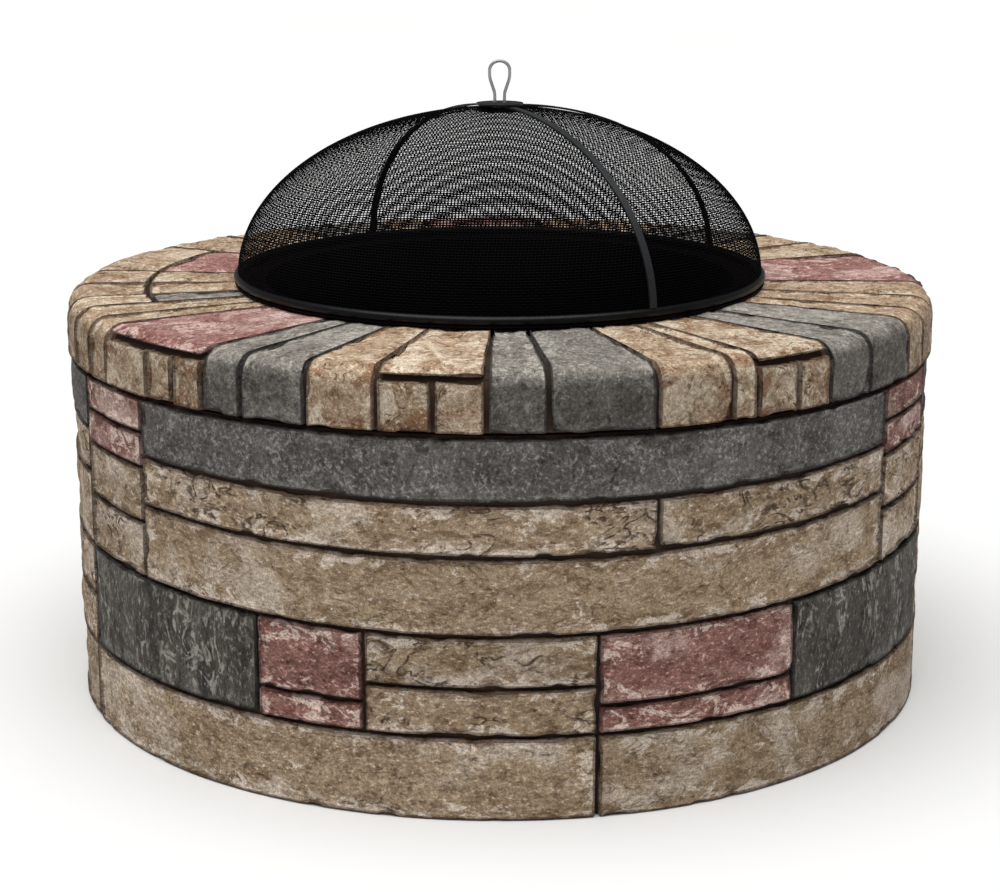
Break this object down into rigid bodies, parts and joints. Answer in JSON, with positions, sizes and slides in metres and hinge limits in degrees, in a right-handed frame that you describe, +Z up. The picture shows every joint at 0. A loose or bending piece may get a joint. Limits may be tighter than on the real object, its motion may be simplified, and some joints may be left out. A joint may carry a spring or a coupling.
{
  "type": "fire pit",
  "caption": "Round stone-faced wood fire pit with a bullnosed stone coping, drop-in steel bowl and wood grate, and a lift-off domed mesh spark screen.",
  "frame": {"origin": "on the ground at the middle of the pit's foot", "axes": "+Z up along the pit's axis, -Y towards the front, +X to the viewer's right"},
  "size_m": [0.812, 0.8119, 0.5829],
  "materials": {
    "stone_buff": "matte",
    "stone_grey": "matte",
    "stone_rose": "matte",
    "concrete": "matte",
    "mortar": "matte",
    "bowl_steel": "matte",
    "grate_steel": "matte",
    "screen_black": "satin",
    "screen_mesh": "satin",
    "loop_steel": "satin"
  },
  "bodies": {
    "pit_ring": {"core_ring": "concrete", "setting_mortar": "mortar", "cap_mortar_bed": "mortar", "base_stone_1": "stone_buff", "base_stone_2": "stone_buff", "base_stone_3": "stone_buff", "base_stone_4": "stone_buff", "base_stone_5": "stone_buff", "block_course_buff_stones": "stone_buff", "long_stone_1": "stone_buff", "long_stone_2": "stone_buff", "long_stone_3": "stone_buff", "strip_course_stones": "stone_buff", "column_buff_stones": "stone_buff", "block_course_grey_stones": "stone_grey", "band_stone_1": "stone_grey", "band_stone_2": "stone_grey", "band_stone_3": "stone_grey", "block_course_rose_stones": "stone_rose", "column_rose_stones": "stone_rose", "cap_buff_stones": "stone_buff", "cap_grey_stones": "stone_grey", "cap_rose_stones": "stone_rose", "cap_face_blocks": "stone_buff"},
    "fire_bowl": {"fire_bowl": "bowl_steel"},
    "wood_grate": {"grate_ring": "grate_steel", "grate_bars": "grate_steel", "grate_carriers": "grate_steel", "grate_legs": "grate_steel"},
    "spark_screen": {"screen_hoop": "screen_black", "mesh_gore_1": "screen_mesh", "mesh_gore_2": "screen_mesh", "mesh_gore_3": "screen_mesh", "mesh_gore_4": "screen_mesh", "screen_rib_1": "screen_black", "screen_rib_2": "screen_black", "screen_rib_3": "screen_black", "crown_plate": "screen_black", "inner_crown_plate": "screen_black", "lift_loop": "loop_steel"}
  },
  "joints": [
    {"name": "bowl_lift", "type": "slide", "parent": "pit_ring", "child": "fire_bowl", "axis": [0, 0, 1], "range_m": [0, 0.2]},
    {"name": "grate_lift", "type": "slide", "parent": "fire_bowl", "child": "wood_grate", "axis": [0, 0, 1], "range_m": [0, 0.2]},
    {"name": "screen_lift", "type": "slide", "parent": "wood_grate", "child": "spark_screen", "axis": [0, 0, 1], "range_m": [0, 0.25]}
  ]
}
